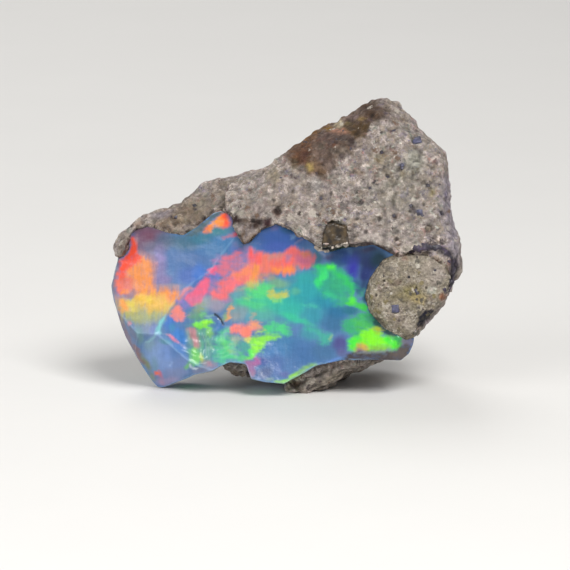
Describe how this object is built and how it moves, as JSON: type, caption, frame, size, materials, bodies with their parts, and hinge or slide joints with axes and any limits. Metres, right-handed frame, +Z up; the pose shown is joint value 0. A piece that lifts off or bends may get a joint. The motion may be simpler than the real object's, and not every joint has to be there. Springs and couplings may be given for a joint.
{
  "type": "rough opal specimen",
  "caption": "Rough precious opal seam with shell-shaped fractures, set in a broken block of grey-pink volcanic rock with a rounded clast and a smoky crystal.",
  "frame": {"origin": "bottom centre of the whole stone's box, on the level that it rests on", "axes": "+X to the right across the opal face, +Y from the opal face into the rock, +Z up"},
  "size_m": [0.0362, 0.0178, 0.0293],
  "materials": {
    "welded_tuff": "rough, granular broken rock",
    "precious_opal": "milky blue, glassy, with play of colour",
    "clast_tuff": "rough, olive-beige granular rock",
    "smoky_feldspar": "translucent brown, glassy"
  },
  "bodies": {
    "root": {"host_rock": "welded_tuff", "opal": "precious_opal", "rounded_clast": "clast_tuff", "smoky_crystal": "smoky_feldspar"}
  },
  "joints": []
}
